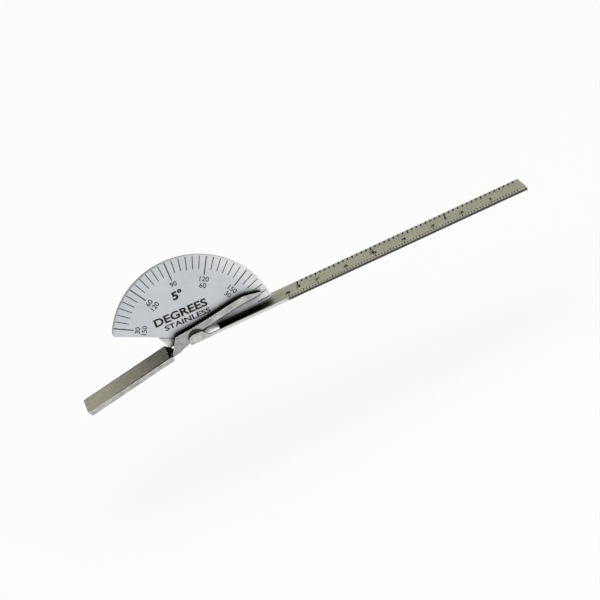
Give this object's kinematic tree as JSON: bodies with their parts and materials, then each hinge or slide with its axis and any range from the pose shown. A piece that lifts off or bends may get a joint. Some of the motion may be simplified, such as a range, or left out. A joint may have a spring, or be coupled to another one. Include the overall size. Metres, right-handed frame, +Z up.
{
  "type": "finger goniometer",
  "caption": "Hand tool for measuring finger joint bend: a long ruler blade with an upright degree scale, and a short arm with a pointer that swings on a rivet.",
  "frame": {"origin": "bottom centre of the bounding box, with the short arm bent 9.6 degrees below the ruler", "axes": "+X along the ruler towards its tip, -Y towards the reader of the degree scale, +Z up, away from the finger"},
  "size_m": [0.1548, 0.0134, 0.0355],
  "materials": {
    "ruler_steel": "satin ground stainless steel, long grain, with black filled graduations",
    "scale_steel": "fine satin stainless steel with black filled graduations",
    "arm_steel": "satin ground stainless blade, polished pointer",
    "bracket_steel": "mill finish stainless steel",
    "rivet_steel": "polished stainless steel",
    "fibre": "black vulcanised fibre"
  },
  "bodies": {
    "long_arm": {"ruler_blade": "ruler_steel", "protractor_plate": "scale_steel", "plate_bracket": "bracket_steel", "foot_rivet_1": "rivet_steel", "foot_rivet_2": "rivet_steel", "pivot_rivet": "rivet_steel", "spring_washer": "rivet_steel", "spacer_washer": "rivet_steel", "friction_washer": "fibre"},
    "short_arm": {"short_arm": "arm_steel"}
  },
  "joints": [
    {"name": "arm_pivot", "type": "hinge", "parent": "long_arm", "child": "short_arm", "pos_m": [-0.03639, -0.0034, 0.00877], "axis": [0, -1, 0], "range_deg": [-9.6, 140.4]}
  ]
}
